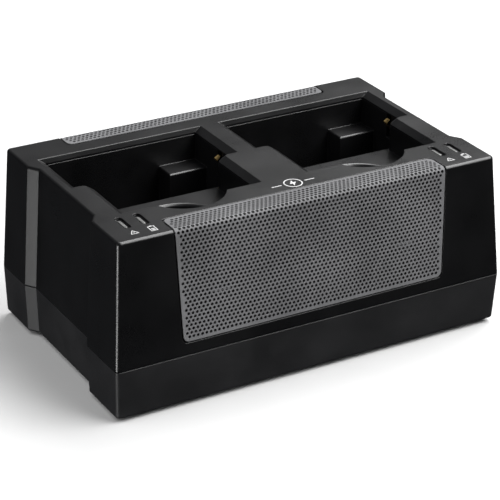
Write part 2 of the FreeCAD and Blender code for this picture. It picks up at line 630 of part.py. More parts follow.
def contact_parts(side):
    """Leaf contacts on both end walls of a bay and the two pins in its round well."""
    centre = bay_centre(side)
    for wall_name, flank in (("left", -1), ("right", 1)):
        wall_out = "%s + (%d) * (wide_half - bevel_side + liner_wall)" % (centre, flank)
        near_x = "(%s) + (%d) * 0.05" % (wall_out, flank)
        far_x = "(%s) + (%d) * holder_thick" % (wall_out, flank)
        low_x, high_x = (far_x, near_x) if flank < 0 else (near_x, far_x)
        name = "%s_%s" % (side, wall_name)
        solid = block(name + "_holder_block", (low_x, "leaf_y - holder_half", "holder_foot_z"),
                      (high_x, "leaf_y + holder_half", "pivot_z"))
        middle = "(%s) + (%d) * 1.3" % (wall_out, flank)
        slot = block(name + "_holder_slot", (middle + " - 0.85", "leaf_y - leaf_half - 0.3", "pivot_z - 4"),
                     (middle + " + 0.85", "leaf_y + leaf_half + 0.3", "pivot_z + 1"))
        keep(cut(name + "_holder_cut", solid, [slot]), "contact_holder_" + name)
        leaf(name, centre, flank, middle)
    pins = []
    guide_top = "bay_floor_z - liner_wall"
    guide = block(side + "_guide_block", ("%s - pin_offset - 4" % centre, "well_y - 4", guide_top + " - 7"),
                  ("%s + pin_offset + 4" % centre, "well_y + 4", guide_top + " - 0.05"))
    for index, (name, sign) in enumerate((("left", -1), ("right", 1))):
        x = "%s + (%d) * pin_offset" % (centre, sign)
        pins.append(rod("%s_pin_bore_%d" % (side, index), (x, "well_y", guide_top + " - 5.5"),
                        "pin_radius + 0.08", "8"))
        shank = rod("%s_pin_shank_%d" % (side, index), (x, "well_y", guide_top + " - 3.5"), "pin_radius",
                    "pin_top_z - bay_floor_z + liner_wall + 3.5")
        top_edge = number("pin_top_z")
        keep(rounded("%s_pin_round_%d" % (side, index), shank, "0.7",
                     lambda e, m: near(m.z, top_edge) and not upright(e)),
             "well_pin_%s_%s" % (side, name))
    keep(cut(side + "_guide_cut", guide, pins), "pin_guide_" + side)


def leaf(name, centre, flank, root_x):
    """A bent strip: root, slope out through the wall to the nose, return to the wall."""
    wall_in = "%s + (%d) * (wide_half - bevel_side)" % (centre, flank)
    nose_x = "(%s) - (%d) * nose_reach" % (wall_in, flank)
    tip_x = "(%s) + (%d) * 0.6" % (wall_in, flank)
    across = "(%d) * leaf_thick" % flank
    path = [(root_x, "pivot_z - 3.2"), (root_x, "pivot_z"), (nose_x, "nose_z"), (tip_x, "leaf_tip_z")]
    back = [("(%s) + %s" % (x, across), z) for x, z in reversed(path)]
    points = path + back
    if flank > 0:
        points = points[::-1]
    body = add("PartDesign::Body", name + "_leaf_body")
    sketch = outline(body, name + "_leaf_sketch", points, "-leaf_y", "XZ_Plane")
    pad = body.newObject("PartDesign::Pad", name + "_leaf_pad")
    pad.Profile = sketch
    pad.Midplane = True
    pad.setExpression("Length", bound("2 * leaf_half"))
    document.recompute()
    keep(body, "leaf_contact_" + name)


def indicators(side):
    sign = SIDES[side]
    leds = []
    for name, x in (("inner", "lamp_inner_x"), ("outer", "lamp_outer_x")):
        middle = "%d * %s" % (sign, x)
        bar = block("%s_%s_bar" % (side, name),
                    (middle + " - pipe_width / 2", "lamp_y - pipe_length / 2", "pipe_foot"),
                    (middle + " + pipe_width / 2", "lamp_y + pipe_length / 2", "pipe_top"))
        collar = block("%s_%s_collar" % (side, name),
                       (middle + " - 2", "lamp_y - pipe_length / 2 - 1", "top_z - plate - 1.2"),
                       (middle + " + 2", "lamp_y + pipe_length / 2 + 1", "top_z - plate - 0.02"))
        keep(fuse("%s_%s_pipe" % (side, name), [bar, collar]), "light_pipe_%s_%s" % (side, name))
        leds.append(block("%s_%s_led" % (side, name),
                          (middle + " - 1.0", "lamp_y - 1.6", "lamp_board_z + lamp_board_thick"),
                          (middle + " + 1.0", "lamp_y + 1.6", "pipe_foot - 0.6")))
    keep(group(side + "_led_group", leds), "leds_" + side)
    middle = "%d * (lamp_inner_x + lamp_outer_x) / 2" % sign
    board = block(side + "_lamp_blank",
                  (middle + " - lamp_board_half", "lamp_y - lamp_board_back", "lamp_board_z"),
                  (middle + " + lamp_board_half", "lamp_y + lamp_board_front",
                   "lamp_board_z + lamp_board_thick"))
    holes, screws = [], []
    for index, x in enumerate(lamp_screw_x(sign)):
        hole_foot = (x, "lamp_y - lamp_screw_back", "lamp_board_z - 1")
        holes.append(rod("%s_lamp_hole_%d" % (side, index), hole_foot,
                         "lamp_hole", "lamp_board_thick + 2"))
        seat = (x, "lamp_y - lamp_screw_back", "lamp_board_z")
        screws.append(screw("%s_lamp_screw_%d" % (side, index), seat, "lamp_screw_shank",
                            "lamp_screw_length", "lamp_screw_head", "lamp_head_tall"))
    keep(cut(side + "_lamp_board_cut", board, holes), "indicator_board_" + side)
    return screws


def screw(name, seat, radius, length, head_radius, head_height):
    """A screw driven upwards: its head hangs below the seat."""
    x, y, z = seat
    foot = "%s - (%s)" % (z, head_height)
    shank = rod(name + "_shank", seat, radius, length)
    head = rod(name + "_head", (x, y, foot), head_radius, head_height)
    slot = block(name + "_slot",
                 (x + " - slot_half", "%s - (%s) - 1" % (y, head_radius), foot + " - 1"),
                 (x + " + slot_half", "%s + (%s) + 1" % (y, head_radius), foot + " + slot_depth"))
    return cut(name, fuse(name + "_blank", [head, shank]), [slot])


BOARD_TOP = "board_z + board_thick"


def main_board():
    """The charger's circuit board with the parts that stand on it."""
    blank = block("board_blank", ("-board_half_x", "-board_half_y", "board_z"),
                  ("board_half_x", "board_half_y", BOARD_TOP))
    holes = [rod("board_hole_%d" % index, (x, y, "board_z - 1"), "board_hole", "board_thick + 2")
             for index, (x, y) in enumerate(board_screws())]
    keep(cut("board_cut", blank, holes), "main_board")

    def chip(name, x, y, half_x, half_y, height, lift="0"):
        low = "%s + %s + 0.02" % (BOARD_TOP, lift)
        return block(name, ("%s - %s" % (x, half_x), "%s - %s" % (y, half_y), low),
                     ("%s + %s" % (x, half_x), "%s + %s" % (y, half_y), "%s + %s" % (low, height)))

    keep(group("controller_group", [chip("controller_left", "-30", "-4", 3.5, 2.5, 1.4),
                                    chip("controller_right", "30", "-4", 3.5, 2.5, 1.4)]),
         "charge_controllers")
    keep(group("transistor_group", [chip("transistor_left", "-36", "11", 3.3, 3.0, 2.2),
                                    chip("transistor_right", "-26", "11", 3.3, 3.0, 2.2)]),
         "power_transistors")
    base = chip("sink_base", "-31", "22", 15, 7, 2)
    fins = [chip("sink_fin_%d" % index, "-31", "%g" % (15.7 + index * 3.15), 15, 0.6, 9)
            for index in range(5)]
    keep(fuse("sink_whole", [base] + fins), "heat_sink")
    cans = []
    for index, x in enumerate(("18", "28")):
        can = rod("can_%d" % index, (x, "24", BOARD_TOP + " + 0.02"), "4", "11")
        top_edge = number(BOARD_TOP) + 11.02
        cans.append(rounded("can_round_%d" % index, can, "0.5",
                            lambda e, m: near(m.z, top_edge) and not upright(e)))
    keep(group("capacitor_group", cans), "smoothing_capacitors")
    drum = rod("drum_core", ("40", "12", BOARD_TOP + " + 0.02"), "6", "6")
    waist = cut("drum_waist_ring", rod("drum_ring_outer", ("40", "12", BOARD_TOP + " + 1.2"), "7", "3.6"),
                [rod("drum_ring_inner", ("40", "12", BOARD_TOP + " + 1"), "4.6", "4")])
    keep(cut("drum_cut", drum, [waist]), "inductor")
    sockets = []
    for index, (x, y) in enumerate(SOCKETS):
        body = chip("socket_%d" % index, x, y, 3.2, 2.6, "socket_height")
        mouth = block("socket_mouth_%d" % index,
                      (x + " - 2.4", y + " - 1.8", BOARD_TOP + " + socket_height - 1.5"),
                      (x + " + 2.4", y + " + 1.8", BOARD_TOP + " + socket_height + 1"))
        sockets.append(cut("socket_cut_%d" % index, body, [mouth]))
    keep(group("socket_group", sockets), "board_sockets")


SOCKETS = (("-64", "-16"), ("64", "-16"), ("-14", "4"), ("14", "4"), ("-62", "8"), ("62", "8"))


def dc_inlet():
    """A panel socket in the rear wall: flange outside, nut inside, a pin on its axis."""
    seat = "half_depth - inlet_recess"
    back = "half_depth - inlet_length"
    barrel = rod("inlet_barrel", ("inlet_x", back, "inlet_z"), "inlet_radius",
                 "inlet_length - inlet_recess", "y")
    flange = rod("inlet_flange", ("inlet_x", seat, "inlet_z"), "inlet_radius + inlet_flange",
                 "flange_thick", "y")
    mouth = rod("inlet_mouth", ("inlet_x", "half_depth - mouth_depth", "inlet_z"), "mouth_radius",
                "mouth_depth + 1", "y")
    pin = rod("inlet_pin", ("inlet_x", "half_depth - mouth_depth - 0.5", "inlet_z"), "centre_pin",
              "mouth_depth - inlet_recess", "y")
    tail = block("inlet_tail",
                 ("inlet_x - tail_half", back + " - tail_length", "inlet_z - tail_half"),
                 ("inlet_x + tail_half", back + " + 0.5", "inlet_z + tail_half"))
    body = cut("inlet_open", fuse("inlet_blank", [barrel, flange, tail]), [mouth])
    keep(fuse("inlet_whole", [body, pin]), "dc_inlet")
    nut = add("Part::Prism", "inlet_nut_blank")
    nut.Polygon = 6
    nut.setExpression("Circumradius", bound("inlet_radius + nut_growth"))
    nut.setExpression("Height", bound("nut_thick"))
    nut.Placement = FreeCAD.Placement(FreeCAD.Vector(), TURNS["y"])
    place(nut, ("inlet_x", "half_depth - nut_back", "inlet_z"))
    bore = rod("inlet_nut_bore", ("inlet_x", "half_depth - nut_back - 1", "inlet_z"),
               "inlet_radius + fit_gap", "nut_thick + 2", "y")
    keep(cut("inlet_nut_cut", nut, [bore]), "inlet_nut")


def wire(label, route, radius=1.0):
    """A round lead along straight runs joined by tangent arcs."""
    points = [FreeCAD.Vector(*[number(text) for text in point]) for point in route]
    edges = []
    start = points[0]
    for before, corner, after in zip(points, points[1:], points[2:]):
        into = (corner - before).normalize()
        away = (after - corner).normalize()
        reach = 0.45 * min(corner.distanceToPoint(before), corner.distanceToPoint(after))
        leave = corner - into * reach
        arrive = corner + away * reach
        half_turn = into.getAngle(away) / 2
        centre_way = (away - into).normalize()
        bend = reach / math.tan(half_turn)
        print("%s bend radius %.1f" % (label, bend))
        centre = corner + centre_way * (bend / math.cos(half_turn))
        edges.append(Part.makeLine(start, leave))
        edges.append(Part.Arc(leave, centre - centre_way * bend, arrive).toShape())
        start = arrive
    edges.append(Part.makeLine(start, points[-1]))
    path = Part.Wire(edges)
    first = (points[1] - points[0]).normalize()
    ring = Part.Wire([Part.makeCircle(radius, points[0], first)])
    lead = add("Part::Feature", label + "_tube")
    lead.Shape = path.makePipeShell([ring], True, False)
    expected = math.pi * radius ** 2 * path.Length
    print("%s volume %.1f of %.1f" % (label, lead.Shape.Volume, expected))
    keep(lead, label)


def wiring():
    socket_top = BOARD_TOP + " + socket_height - 1.4"
    for side, sign in SIDES.items():
        x = "%d * 64" % sign
        lamp_x = "%d * (lamp_outer_x + 1)" % sign
        wire("lamp_lead_" + side, [(lamp_x, "lamp_y + 4", "lamp_board_z - 0.02"),
                                   (lamp_x, "lamp_y + 4", "36"), (x, "-16", "23"),
                                   (x, "-16", socket_top)])
        for wall_name, flank in (("left", -1), ("right", 1)):
            edge = "%d * bay_x + (%d) * (wide_half - bevel_side + liner_wall + 1.7)" % (sign, flank)
            outer = sign == flank
            socket_x, socket_y = ("%d * 62" % sign, "8") if outer else ("%d * 14" % sign, "4")
            wire("contact_lead_%s_%s" % (side, wall_name),
                 [(edge, "leaf_y", "holder_foot_z - 0.02"), (edge, "leaf_y", "19.5"),
                  (socket_x, socket_y, "20.5"), (socket_x, socket_y, socket_top)])
    wire("power_lead", [("inlet_x", "half_depth - inlet_length - tail_length - fit_gap", "inlet_z"),
                        ("inlet_x", "28", "inlet_z"),
                        ("inlet_x", "28", BOARD_TOP + " + 0.02")], 0.9)


def feet():
    for label, (a, b) in zip(("front_left", "front_right", "rear_right", "rear_left"), CORNERS):
        disc = rod("foot_disc_" + label, ("%d * foot_x" % a, "%d * foot_y" % b, "0"), "foot_radius",
                   "base_z + foot_seat - fit_gap")
        keep(rounded("foot_round_" + label, disc, "foot_round",
                     lambda e, m: near(m.z, 0) and not upright(e)), "foot_" + label)


def screws(lamp_screws):
    case = []
    for index, (a, b) in enumerate(CORNERS):
        seat = ("%d * post_x" % a, "%d * post_y" % b, "base_z + counterbore_depth")
        case.append(screw("case_screw_%d" % index, seat, "case_screw_shank", "case_screw_length",
                          "case_screw_head", "case_head_tall"))
    keep(group("case_screw_group", case), "case_screws")
    wells = []
    for side, sign in SIDES.items():
        for ends, (x, y) in enumerate((("lug_front_x", "lug_front_y"), ("lug_rear_x", "lug_rear_y"))):
            for flank in (-1, 1):
                seat = ("%d * bay_x + (%d) * %s" % (sign, flank, x), y, "lug_z")
                name = "%s_well_screw_%d_%d" % (side, ends, flank + 1)
                wells.append(screw(name, seat, "well_screw_shank", "well_screw_length",
                                   "well_screw_head", "well_head_tall"))
    keep(group("well_screw_group", wells), "well_screws")
    board = []
    for index, (x, y) in enumerate(board_screws()):
        foot = "base_z + wall + 1"
        shank = rod("board_screw_%d_shank" % index, (x, y, foot), "board_screw_shank",
                    "%s + fit_gap - (%s)" % (BOARD_TOP, foot))
        head = rod("board_screw_%d_head" % index, (x, y, BOARD_TOP + " + fit_gap"),
                   "board_screw_head", "board_head_tall")
        board.append(fuse("board_screw_%d" % index, [shank, head]))
    keep(group("board_screw_group", board), "board_screws")
    keep(group("lamp_screw_group", lamp_screws), "lamp_board_screws")


def build():
    upper_housing()
    lower_housing()
    grilles()
    lamp_screws = []
    for side in SIDES:
        charging_well(side)
        contact_parts(side)
        lamp_screws += indicators(side)
    main_board()
    dc_inlet()
    wiring()
    feet()
    screws(lamp_screws)
    document.recompute()


def check_and_write():
    for thing in document.Objects:
        if "Invalid" in thing.State or "Error" in thing.State:
            raise RuntimeError("%s is %s" % (thing.Name, thing.State))
    os.makedirs("parts", exist_ok=True)
    for piece in pieces:
        if piece.Shape.isNull() or not piece.Shape.isValid():
            raise RuntimeError(piece.Label + " has no valid shape")
    for piece in pieces:
        piece.Shape.exportStep("parts/%s.step" % piece.Label)
        print("%-28s %2d solids %10.1f mm3" % (piece.Label, len(piece.Shape.Solids), piece.Shape.Volume))
    print(len(pieces), "pieces")


build()
check_and_write()
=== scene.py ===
import bmesh
import bpy
import json
import math
from mathutils import Matrix, Vector


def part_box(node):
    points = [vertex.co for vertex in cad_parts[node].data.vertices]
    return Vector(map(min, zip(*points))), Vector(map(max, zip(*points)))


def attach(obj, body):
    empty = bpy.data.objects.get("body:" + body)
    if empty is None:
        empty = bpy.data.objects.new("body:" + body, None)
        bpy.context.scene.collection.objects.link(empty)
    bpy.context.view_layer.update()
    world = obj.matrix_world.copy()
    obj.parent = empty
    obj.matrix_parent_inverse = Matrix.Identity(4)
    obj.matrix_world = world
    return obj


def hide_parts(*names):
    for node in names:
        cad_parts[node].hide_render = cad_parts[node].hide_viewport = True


# Looks of the two-bay charging station. Metres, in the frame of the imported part:
# +X right, +Y back, +Z up, origin on the table under the middle of the case.

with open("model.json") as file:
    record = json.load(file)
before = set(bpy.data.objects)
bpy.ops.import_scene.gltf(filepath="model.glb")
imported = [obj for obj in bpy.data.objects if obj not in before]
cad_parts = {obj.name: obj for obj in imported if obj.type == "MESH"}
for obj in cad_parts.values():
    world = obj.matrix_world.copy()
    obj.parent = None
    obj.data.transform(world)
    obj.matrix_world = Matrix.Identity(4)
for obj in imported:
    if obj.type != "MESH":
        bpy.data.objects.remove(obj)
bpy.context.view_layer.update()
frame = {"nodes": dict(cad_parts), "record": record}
nodes = frame["nodes"]

MM = 0.001
SAME_SPOT = 1e-7
SIDES = ("left", "right")


# ---------------------------------------------------------------- mesh helpers

def object_from(name, points, faces, smooth_angle=None):
    """A mesh object from points in metres; edges sharper than smooth_angle stay crisp."""
    mesh = bpy.data.meshes.new(name)
    mesh.from_pydata([tuple(p) for p in points], [], faces)
    mesh.validate()
    mesh.update()
    piece = bpy.data.objects.new(name, mesh)
    bpy.context.scene.collection.objects.link(piece)
    if smooth_angle is not None:
        mesh.polygons.foreach_set("use_smooth", [True] * len(mesh.polygons))
        mesh.set_sharp_from_angle(angle=math.radians(smooth_angle))
    return piece


def lathe(name, profile, centre, steps=48):
    """Turn a closed profile of (radius, height) pairs about the upright axis through centre."""
    points, faces = [], []
    count = len(profile)
    for step in range(steps):
        turn = 2 * math.pi * step / steps
        for radius, height in profile:
            points.append(centre + Vector((radius * math.cos(turn), radius * math.sin(turn), height)))
    for step in range(steps):
        here, there = step * count, (step + 1) % steps * count
        for index in range(count):
            after = (index + 1) % count
            faces.append((here + index, there + index, there + after, here + after))
    return welded(object_from(name, points, faces, 40))


def welded(piece):
    """Join points that coincide and drop the empty faces this leaves."""
    work = bmesh.new()
    work.from_mesh(piece.data)
    bmesh.ops.remove_doubles(work, verts=work.verts, dist=SAME_SPOT)
    bmesh.ops.dissolve_degenerate(work, edges=work.edges, dist=SAME_SPOT)
    bmesh.ops.recalc_face_normals(work, faces=work.faces)
    work.to_mesh(piece.data)
    work.free()
    return piece


def prism(outline, low, high, lift):
    """Points and faces of a flat closed shape, extruded from low to high.

    lift maps (u, v, height) to a point in the scene."""
    count = len(outline)
    points = [lift(u, v, low) for u, v in outline] + [lift(u, v, high) for u, v in outline]
    faces = [tuple(reversed(range(count))), tuple(range(count, 2 * count))]
    for index in range(count):
        after = (index + 1) % count
        faces.append((index, after, count + after, count + index))
    return points, faces


def joined(name, solids, smooth_angle=30):
    """One object that holds several separate closed solids."""
    points, faces = [], []
    for solid_points, solid_faces in solids:
        shift = len(points)
        points += solid_points
        faces += [tuple(index + shift for index in face) for face in solid_faces]
    return welded(object_from(name, points, faces, smooth_angle))


def arc(centre_u, centre_v, radius, start, end, steps):
    """Points along an arc, angles in degrees."""
    spots = []
    for step in range(steps + 1):
        turn = math.radians(start + (end - start) * step / steps)
        spots.append((centre_u + radius * math.cos(turn), centre_v + radius * math.sin(turn)))
    return spots


# ------------------------------------------------------------------- materials

class Nodes:
    """Small helper that adds shader nodes to one material and links them."""

    def __init__(self, name):
        self.material = bpy.data.materials.new(name)
        self.material.use_nodes = True
        self.tree = self.material.node_tree
        self.shader = self.tree.nodes["Principled BSDF"]
        self.coords = self.add("ShaderNodeTexCoord").outputs["Object"]

    def add(self, kind, **settings):
        node = self.tree.nodes.new(kind)
        for key, value in settings.items():
            setattr(node, key, value)
        return node

    def link(self, source, target):
        self.tree.links.new(source, target)

    def noise(self, size, detail=3.0, roughness=0.55, stretch=(1, 1, 1)):
        """Noise whose features are about size metres across."""
        mapping = self.add("ShaderNodeMapping")
        mapping.inputs["Scale"].default_value = stretch
        self.link(self.coords, mapping.inputs["Vector"])
        texture = self.add("ShaderNodeTexNoise")
        texture.inputs["Scale"].default_value = 1 / size
        texture.inputs["Detail"].default_value = detail
        texture.inputs["Roughness"].default_value = roughness
        self.link(mapping.outputs["Vector"], texture.inputs["Vector"])
        return texture.outputs["Fac"]

    def cells(self, size):
        """Distance from the borders of cells about size metres across."""
        texture = self.add("ShaderNodeTexVoronoi", feature="DISTANCE_TO_EDGE")
        texture.inputs["Scale"].default_value = 1 / size
        self.link(self.coords, texture.inputs["Vector"])
        return texture.outputs["Distance"]

    def spread(self, source, low, high, to_low, to_high):
        """Map a range of values onto another, held at its ends."""
        node = self.add("ShaderNodeMapRange")
        node.inputs["From Min"].default_value = low
        node.inputs["From Max"].default_value = high
        node.inputs["To Min"].default_value = to_low
        node.inputs["To Max"].default_value = to_high
        self.link(source, node.inputs["Value"])
        return node.outputs["Result"]

    def math(self, operation, first, second):
        node = self.add("ShaderNodeMath", operation=operation)
        for slot, value in zip(node.inputs, (first, second)):
            if isinstance(value, (int, float)):
                slot.default_value = value
            else:
                self.link(value, slot)
        return node.outputs["Value"]

    def blend(self, factor, first, second):
        """Mix two colours; each is a colour or a socket."""
        node = self.add("ShaderNodeMix", data_type="RGBA")
        self.link(factor, node.inputs[0])
        for slot, value in zip((node.inputs[6], node.inputs[7]), (first, second)):
            if isinstance(value, (tuple, list)):
                slot.default_value = (*value, 1)
            else:
                self.link(value, slot)
        return node.outputs[2]

    def edges(self, radius):
        """1 along sharp edges, 0 away from them, with the softened normal beside it."""
        bevel = self.add("ShaderNodeBevel", samples=6)
        bevel.inputs["Radius"].default_value = radius
        true_normal = self.add("ShaderNodeNewGeometry").outputs["Normal"]
        dot = self.add("ShaderNodeVectorMath", operation="DOT_PRODUCT")
        self.link(bevel.outputs["Normal"], dot.inputs[0])
        self.link(true_normal, dot.inputs[1])
        mask = self.spread(dot.outputs["Value"], 0.98, 0.8, 0.0, 1.0)
        return mask, bevel.outputs["Normal"]

    def bump(self, height, strength, depth, normal=None):
        node = self.add("ShaderNodeBump")
        node.inputs["Strength"].default_value = strength
        node.inputs["Distance"].default_value = depth
        self.link(height, node.inputs["Height"])
        if normal is not None:
            self.link(normal, node.inputs["Normal"])
        self.link(node.outputs["Normal"], self.shader.inputs["Normal"])

    def colour(self, source):
        self.link(source, self.shader.inputs["Base Color"])

    def roughness(self, source):
        self.link(source, self.shader.inputs["Roughness"])

    def set(self, **values):
        """Plain values on the shader; an underscore in a name stands for a space."""
        for key, value in values.items():
            self.shader.inputs[key.replace("_", " ")].default_value = value


def scaled(colour, factor, lift=0.0):
    """A lighter or darker version of a colour."""
    return tuple(factor * part + lift for part in colour)


def moulded(name, colour, roughness, grain, depth, worn, edge_radius=0.0005, specular=0.5):
    """Moulded plastic: eroded grain, faint mottling, handling polish and paler worn edges.

    grain and edge_radius are sizes in metres, and depth is the height of the grain."""
    look = Nodes(name)
    mottle = look.spread(look.noise(0.018, 4), 0.35, 0.68, 0.0, 1.0)
    fine = look.noise(grain, 2)
    body = look.blend(mottle, scaled(colour, 0.78), scaled(colour, 1.30))
    edge, soft_normal = look.edges(edge_radius)
    patchy = look.spread(look.noise(0.006, 5), 0.42, 0.62, 0.15, 1.0)
    wear = look.math("MULTIPLY", edge, patchy)
    wear = look.math("MULTIPLY", wear, 0.55)
    dust = look.spread(look.noise(0.0011, 6, 0.7), 0.66, 0.74, 0.0, 0.35)
    body = look.blend(dust, body, scaled(colour, 2.2, 0.002))
    look.colour(look.blend(wear, body, worn))
    polish = look.spread(look.noise(0.035, 3), 0.3, 0.7, roughness - 0.07, roughness + 0.06)
    rub = look.spread(fine, 0.3, 0.7, -0.035, 0.035)
    rough = look.math("ADD", polish, rub)
    look.roughness(look.math("SUBTRACT", rough, look.math("MULTIPLY", wear, 0.12)))
    look.bump(fine, 0.55, depth, soft_normal)
    look.set(Specular_IOR_Level=specular)
    return look.material


def metal(name, colour, roughness, stretch, tarnish, metallic=1.0):
    """Plated or rolled metal: drawn streaks, smudges and a little tarnish."""
    look = Nodes(name)
    streak = look.noise(0.0004, 3, 0.6, stretch)
    smudge = look.spread(look.noise(0.004, 4), 0.4, 0.65, 0.0, 1.0)
    look.colour(look.blend(smudge, colour, tarnish))
    rough = look.spread(streak, 0.3, 0.7, roughness - 0.06, roughness + 0.08)
    look.roughness(look.math("ADD", rough, look.math("MULTIPLY", smudge, 0.08)))
    look.bump(streak, 0.25, 0.00002)
    look.set(Metallic=metallic)
    return look.material


def painted_steel(name, colour):
    """The grilles: matt paint over perforated sheet, with orange peel and rubbed edges."""
    look = Nodes(name)
    cloud = look.spread(look.noise(0.03, 3), 0.35, 0.65, 0.0, 1.0)
    body = look.blend(cloud, scaled(colour, 0.86), scaled(colour, 1.14))
    edge, soft_normal = look.edges(0.00012)
    chips = look.spread(look.noise(0.0025, 6, 0.7), 0.55, 0.66, 0.0, 0.8)
    look.colour(look.blend(look.math("MULTIPLY", edge, chips), body, BARE_STEEL))
    look.roughness(look.spread(look.noise(0.0016, 4), 0.3, 0.7, 0.42, 0.58))
    look.bump(look.noise(0.0007, 2), 0.2, 0.00003, soft_normal)
    look.set(Specular_IOR_Level=0.16)
    return look.material


def lamp_plastic(name):
    """The light pipes: cloudy clear plastic."""
    look = Nodes(name)
    cloud = look.spread(look.noise(0.0012, 4), 0.35, 0.65, 0.0, 1.0)
    look.colour(look.blend(cloud, (0.20, 0.20, 0.195), (0.11, 0.11, 0.11)))
    look.roughness(look.spread(look.noise(0.0006, 3), 0.3, 0.7, 0.16, 0.32))
    look.bump(look.noise(0.0005, 2), 0.15, 0.00002)
    look.set(Transmission_Weight=0.35, IOR=1.49)
    return look.material


def board_laminate(name):
    """Green solder mask with buried copper tracks that show as paler runs."""
    look = Nodes(name)
    tracks = look.spread(look.cells(0.0035), 0.06, 0.1, 1.0, 0.0)
    weave = look.spread(look.noise(0.0005, 2), 0.3, 0.7, 0.0, 1.0)
    mask = look.blend(weave, (0.008, 0.065, 0.026), (0.012, 0.09, 0.035))
    look.colour(look.blend(tracks, mask, (0.025, 0.17, 0.06)))
    look.roughness(look.spread(look.noise(0.006, 3), 0.3, 0.7, 0.26, 0.42))
    look.bump(tracks, 0.4, 0.00004)
    look.set(Coat_Weight=0.3, Coat_Roughness=0.2)
    return look.material


def ink(name, colour):
    """Screen-printed marks: slightly porous matt ink."""
    look = Nodes(name)
    pores = look.spread(look.noise(0.0003, 4), 0.3, 0.62, 0.0, 1.0)
    look.colour(look.blend(pores, colour, scaled(colour, 0.8)))
    look.roughness(look.spread(look.noise(0.0005, 3), 0.3, 0.7, 0.5, 0.66))
    look.bump(look.noise(0.0002, 2), 0.2, 0.00001)
    return look.material


def floor_paper(name):
    """The pale studio sheet under the object, with faint fibres."""
    look = Nodes(name)
    fibre = look.spread(look.noise(0.02, 5), 0.3, 0.7, 0.0, 1.0)
    look.colour(look.blend(fibre, (0.44, 0.44, 0.44), (0.45, 0.45, 0.45)))
    look.roughness(look.spread(look.noise(0.01, 3), 0.3, 0.7, 0.8, 0.9))
    look.bump(look.noise(0.002, 4), 0.1, 0.0001)
    look.set(Specular_IOR_Level=0.1)
    return look.material


BLACK = (0.0016, 0.0016, 0.0018)
WORN = (0.018, 0.018, 0.019)
# The tray is a lighter, matt black plastic. Its raised base colour also paints in the floor's reflection
# on its faces, because they don't mirror the floor.
TRAY_BLACK_WITH_PAINTED_REFLECTION = (0.0075, 0.0075, 0.0080)
WELL_BLACK = (0.0024, 0.0024, 0.0026)
SLEEVE_BLUE = (0.012, 0.02, 0.05)
SOCKET_CREAM, WORN_CREAM = (0.55, 0.53, 0.46), (0.68, 0.66, 0.6)
LED_CLOUD, WORN_CLOUD = (0.62, 0.62, 0.56), (0.7, 0.7, 0.65)
FERRITE_GREY, WORN_FERRITE = (0.030, 0.028, 0.027), (0.07, 0.065, 0.06)
RUBBER_BLACK, WORN_RUBBER = (0.014, 0.014, 0.0145), (0.05, 0.05, 0.048)
GOLD, DULL_GOLD = (0.93, 0.66, 0.26), (0.72, 0.46, 0.16)
NICKEL = (0.62, 0.60, 0.56)
ZINC, DULL_ZINC = (0.52, 0.53, 0.55), (0.40, 0.39, 0.36)
ANODISED, DULL_ANODISED = (0.10, 0.10, 0.105), (0.07, 0.07, 0.075)
BARE_STEEL = (0.46, 0.46, 0.47)
GRILLE_GREY = (0.088, 0.088, 0.091)
INK_WHITE = (0.40, 0.40, 0.40)

MATERIALS = {
    "upper_case": moulded("upper_case_abs", BLACK, 0.34, 0.00042, 0.00003, WORN, specular=0.42),
    # The tray's base colour includes painted floor reflection on top of its own lighter plastic.
    "lower_case": moulded("lower_case_abs", TRAY_BLACK_WITH_PAINTED_REFLECTION, 0.46, 0.00048, 0.00004, WORN, specular=0.45),
    "well_plastic": moulded("well_abs", WELL_BLACK, 0.32, 0.00040, 0.00003, WORN, 0.0006, 0.42),
    "grille_steel": painted_steel("grille_paint", GRILLE_GREY),
    "contact_gold": metal("gold_plate", GOLD, 0.24, (1, 6, 1), DULL_GOLD),
    "insulator": moulded("insulator_nylon", (0.012, 0.012, 0.013), 0.52, 0.0003, 0.00003, WORN, 0.0002),
    "light_pipe": lamp_plastic("pipe_acrylic"),
    "led": moulded("led_epoxy", LED_CLOUD, 0.3, 0.0003, 0.00001, WORN_CLOUD, 0.0001),
    "circuit_board": board_laminate("board_laminate"),
    "chip": moulded("chip_epoxy", (0.014, 0.014, 0.015), 0.5, 0.0002, 0.00002, WORN, 0.0001),
    "heat_sink": metal("anodised", ANODISED, 0.42, (1, 14, 1), DULL_ANODISED, 0.9),
    "capacitor": moulded("capacitor_sleeve", SLEEVE_BLUE, 0.34, 0.0006, 0.00001, WORN, 0.0002),
    "ferrite": moulded("ferrite", FERRITE_GREY, 0.62, 0.0003, 0.00004, WORN_FERRITE, 0.0002),
    "socket": moulded("socket_nylon", SOCKET_CREAM, 0.48, 0.0004, 0.00002, WORN_CREAM, 0.0002),
    "nickel": metal("nickel", NICKEL, 0.27, (1, 1, 8), scaled(NICKEL, 0.62)),
    "inlet_plastic": moulded("inlet_pbt", (0.010, 0.010, 0.011), 0.36, 0.0005, 0.00002, WORN, 0.0003),
    "lead": moulded("lead_pvc", (0.013, 0.013, 0.014), 0.44, 0.0007, 0.00003, WORN, 0.0002),
    "rubber": moulded("foot_rubber", RUBBER_BLACK, 0.72, 0.0006, 0.00006, WORN_RUBBER, 0.0003),
    "screw_steel": metal("zinc_plate", ZINC, 0.32, (1, 1, 10), DULL_ZINC),
}
PRINT = ink("print_ink", INK_WHITE)


def dress_cad_nodes():
    """Every carried-over node takes the finish of its material slot."""
    slot_of = {part["node"]: part["material_slot"] for part in frame["record"]["subparts"]}
    for name, piece in nodes.items():
        piece.data.materials.clear()
        piece.data.materials.append(MATERIALS[slot_of[name]])


def dressed(piece, slot, body="base", material=None, replaces=()):
    """Give a piece the finish of its material slot, or the one given, put it in its body, and hide the CAD
    nodes it stands for.
    """
    piece.data.materials.append(material or MATERIALS[slot])
    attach(piece, body)
    if replaces:
        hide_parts(*replaces)
    return piece


# ------------------------------------------------------------ perforated grilles

